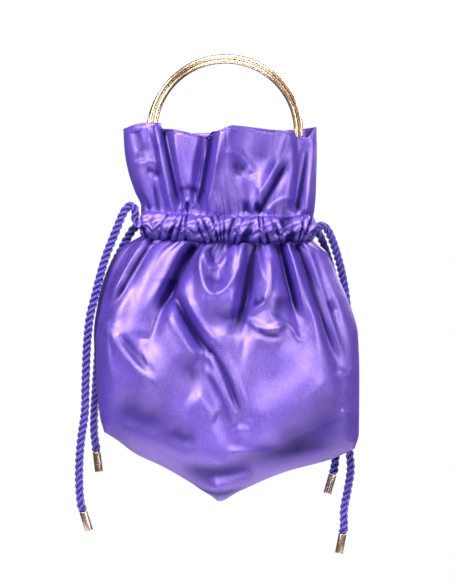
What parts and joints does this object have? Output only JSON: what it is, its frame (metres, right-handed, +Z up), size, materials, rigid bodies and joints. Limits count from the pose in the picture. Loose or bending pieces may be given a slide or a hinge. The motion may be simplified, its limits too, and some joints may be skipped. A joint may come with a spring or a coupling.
{
  "type": "drawstring reticule",
  "caption": "Hanging satin drawstring pouch with a ruffled mouth, pointed lower edge, gathered casings, twisted cords with metal tips and an arched wire handle.",
  "frame": {"origin": "underside of the top of the handle's arch, where the reticule hangs from a hook or a hand", "axes": "+Z up, +X to the right seen from the front, the front panel faces -Y"},
  "size_m": [0.2552, 0.0999, 0.4514],
  "materials": {
    "satin": "glossy violet satin",
    "gathered_satin": "gathered violet satin",
    "tab_cloth": "plain violet cloth",
    "twisted_cord": "twisted lustrous cord",
    "pale_gold": "polished pale gold",
    "tip_gold": "polished pale gold"
  },
  "bodies": {
    "root": {"front_panel": "satin", "back_panel": "satin", "front_casing": "gathered_satin", "back_casing": "gathered_satin", "handle": "pale_gold", "left_handle_tab": "tab_cloth", "right_handle_tab": "tab_cloth", "drawcord_in_front_casing": "twisted_cord", "drawcord_in_back_casing": "twisted_cord", "drawcord_left_front": "twisted_cord", "cord_tip_left_front": "tip_gold", "drawcord_left_back": "twisted_cord", "cord_tip_left_back": "tip_gold", "drawcord_right_front": "twisted_cord", "cord_tip_right_front": "tip_gold", "drawcord_right_back": "twisted_cord", "cord_tip_right_back": "tip_gold"}
  },
  "joints": []
}
